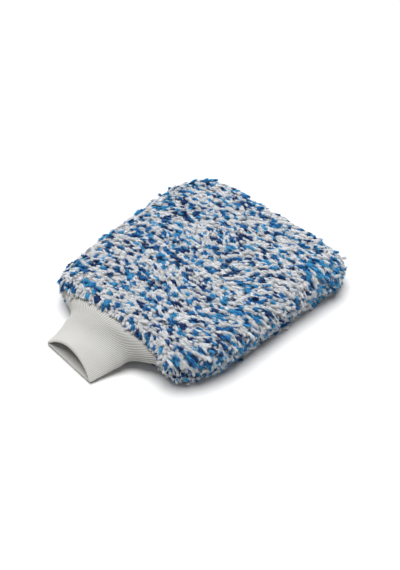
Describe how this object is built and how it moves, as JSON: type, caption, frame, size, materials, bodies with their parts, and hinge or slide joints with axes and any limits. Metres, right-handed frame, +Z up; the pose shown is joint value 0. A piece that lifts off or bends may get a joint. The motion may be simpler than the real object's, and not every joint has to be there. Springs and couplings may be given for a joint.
{
  "type": "wash mitt",
  "caption": "Plush microfibre wash mitt with a rounded, square-ended pile body and a narrow rib-knit cuff that folds at its neck.",
  "frame": {"origin": "middle of the mitt's bounding box in plan, on the surface that it lies on", "axes": "+Z up through the top face, +Y along the length towards the finger end, +X across the width; the cuff points along -Y"},
  "size_m": [0.2086, 0.2664, 0.044],
  "materials": {
    "pile": "soft twisted microfibre strands, greyish white flecked with azure, mid blue and navy",
    "backing": "matt white ground knit",
    "foam": "open-cell cream foam sheet",
    "lining": "smooth light grey woven lining",
    "thread": "white overcast thread",
    "cuff": "off-white fine rib knit"
  },
  "bodies": {
    "body": {"bottom_pile": "pile", "bottom_backing": "backing", "bottom_foam": "foam", "bottom_lining": "lining", "top_lining": "lining", "top_foam": "foam", "top_backing": "backing", "top_pile": "pile", "edge_seam": "thread", "cuff_seam": "thread", "cuff_root": "cuff"},
    "cuff": {"cuff_sleeve": "cuff"}
  },
  "joints": [
    {"name": "cuff_fold", "type": "hinge", "parent": "body", "child": "cuff", "pos_m": [-0.01, -0.09491, 0.0275], "axis": [-1, 0, 0], "range_deg": [0, 80]}
  ]
}
